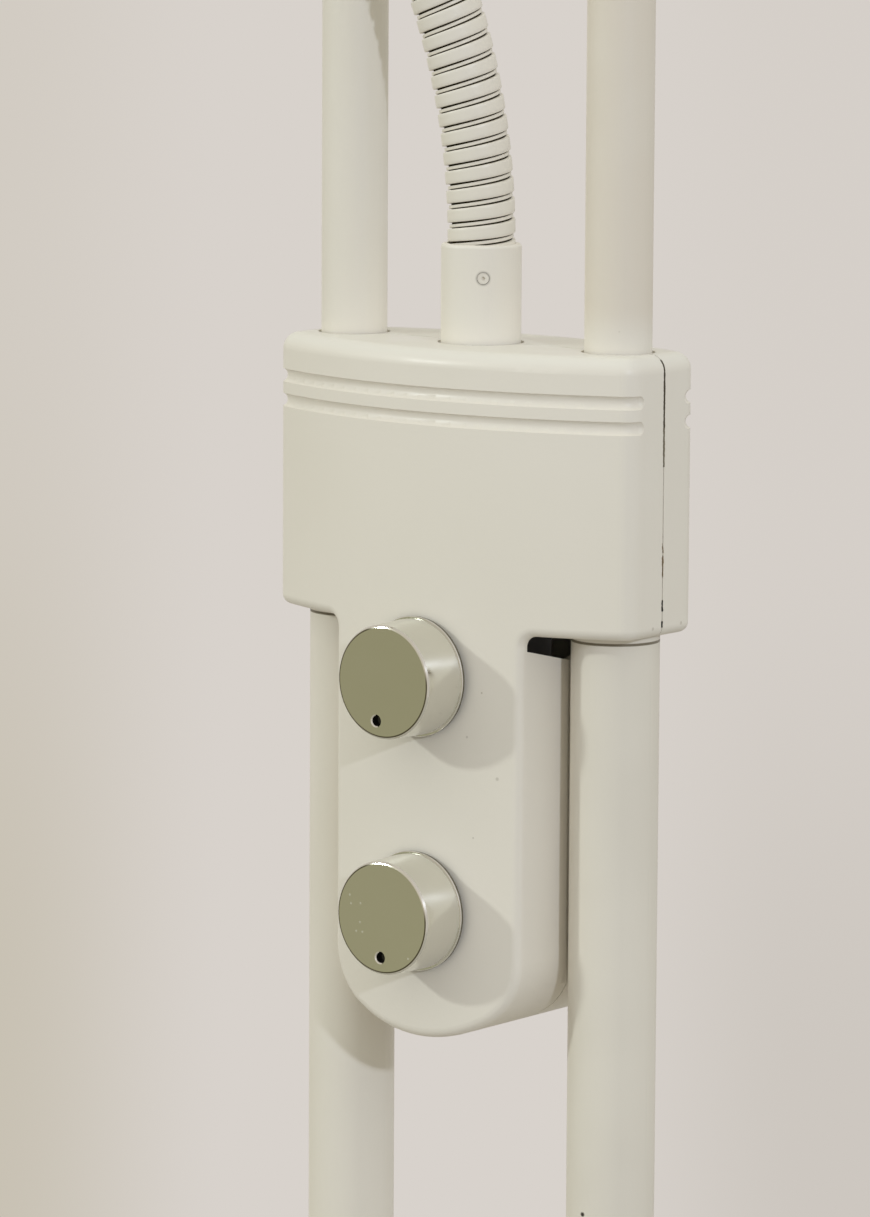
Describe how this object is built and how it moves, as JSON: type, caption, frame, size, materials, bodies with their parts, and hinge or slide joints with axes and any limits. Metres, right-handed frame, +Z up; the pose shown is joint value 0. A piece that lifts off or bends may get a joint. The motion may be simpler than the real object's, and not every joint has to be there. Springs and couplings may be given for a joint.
{
  "type": "floor lamp",
  "caption": "Twin-stem floor lamp: weighted disc base, dimmer housing with round control knobs, a gooseneck reading lamp and an upward-facing bowl lamp at the top.",
  "frame": {"origin": "centre of the base's underside, on the floor", "axes": "+Z up along the stems, -Y the front with the knobs, +X to the right seen from the front; the reading lamp hangs out to the front left"},
  "size_m": [0.5441, 0.468, 1.8526],
  "materials": {
    "white_lacquer": "satin warm off-white lacquer",
    "hose_lacquer": "satin lacquer over wound steel strip",
    "polished_knob": "polished nickel",
    "cast_iron": "as cast",
    "rubber": "matt",
    "black_plastic": "moulded",
    "zinc_steel": "zinc plated",
    "brass": "bright",
    "cable": "smooth sheath",
    "porcelain": "glazed",
    "lamp_glass": "frosted",
    "cover_glass": "clear toughened",
    "reflector": "hammered bright"
  },
  "bodies": {
    "stand": {"base_cover": "white_lacquer", "lower_tube_left": "white_lacquer", "lower_tube_right": "white_lacquer", "upper_tube_left": "white_lacquer", "upper_tube_right": "white_lacquer", "housing_front": "white_lacquer", "housing_rear": "white_lacquer", "neck_ferrule": "white_lacquer", "ferrule_screw": "white_lacquer", "head_bridge": "white_lacquer", "bowl": "white_lacquer", "base_weight": "cast_iron", "base_pad": "rubber", "cord_gland": "rubber", "upper_dimmer": "black_plastic", "lower_dimmer": "black_plastic", "terminal_block": "black_plastic", "tube_bush_left": "black_plastic", "tube_bush_right": "black_plastic", "stem_studs": "zinc_steel", "stud_nuts": "zinc_steel", "tube_lock_screws": "zinc_steel", "housing_screws": "zinc_steel", "chassis": "zinc_steel", "chassis_screws": "zinc_steel", "dimmer_nuts": "zinc_steel", "ferrule_nut": "zinc_steel", "bridge_lock_screws": "zinc_steel", "bowl_screws": "zinc_steel", "lamp_brackets": "zinc_steel", "glass_clips": "zinc_steel", "uplight_cable": "cable", "lampholder_left": "porcelain", "lampholder_right": "porcelain", "head_connector": "porcelain", "halogen_caps": "porcelain", "halogen_tube": "lamp_glass", "safety_glass": "cover_glass", "reflector": "reflector"},
    "upper_knob": {"upper_knob": "polished_knob", "upper_knob_insert": "black_plastic", "upper_spindle": "zinc_steel"},
    "lower_knob": {"lower_knob": "polished_knob", "lower_knob_insert": "black_plastic", "lower_spindle": "zinc_steel"},
    "neck_root": {"neck_root": "zinc_steel"},
    "neck_lower": {"hose_lower": "hose_lacquer", "neck_cable_lower": "cable"},
    "neck_middle": {"hose_middle": "hose_lacquer", "neck_cable_middle": "cable"},
    "reading_head": {"hose_upper": "hose_lacquer", "neck_cable_upper": "cable", "tip_ferrule": "white_lacquer", "tip_screw": "white_lacquer", "nipple": "zinc_steel", "reading_shade": "white_lacquer", "reading_lampholder": "porcelain", "bulb_cap": "brass", "reading_bulb": "lamp_glass"}
  },
  "joints": [
    {"name": "upper_knob_turn", "type": "hinge", "parent": "stand", "child": "upper_knob", "pos_m": [0, -0.03, 1.0076], "axis": [0, 1, 0], "range_deg": [0, 300]},
    {"name": "lower_knob_turn", "type": "hinge", "parent": "stand", "child": "lower_knob", "pos_m": [0, -0.03, 0.9406], "axis": [0, 1, 0], "range_deg": [0, 300]},
    {"name": "neck_swivel", "type": "hinge", "parent": "stand", "child": "neck_root", "pos_m": [0, -0.0015, 1.128], "axis": [0, 0, 1], "range_deg": [-8, 96]},
    {"name": "neck_root_bend", "type": "hinge", "parent": "neck_root", "child": "neck_lower", "pos_m": [-0.02375, -0.02006, 1.2405], "axis": [0.6157, -0.788, 0], "range_deg": [-40, 12], "deforming": ["hose_lower", "neck_cable_lower"]},
    {"name": "neck_mid_bend", "type": "hinge", "parent": "neck_lower", "child": "neck_middle", "pos_m": [-0.1773, -0.14002, 1.353], "axis": [0.6157, -0.788, 0], "range_deg": [-45, 20], "deforming": ["hose_middle", "neck_cable_middle"]},
    {"name": "neck_tip_bend", "type": "hinge", "parent": "neck_middle", "child": "reading_head", "pos_m": [-0.33085, -0.25999, 1.2405], "axis": [0.6157, -0.788, 0], "range_deg": [-60, 30], "deforming": ["hose_upper", "neck_cable_upper"]}
  ]
}
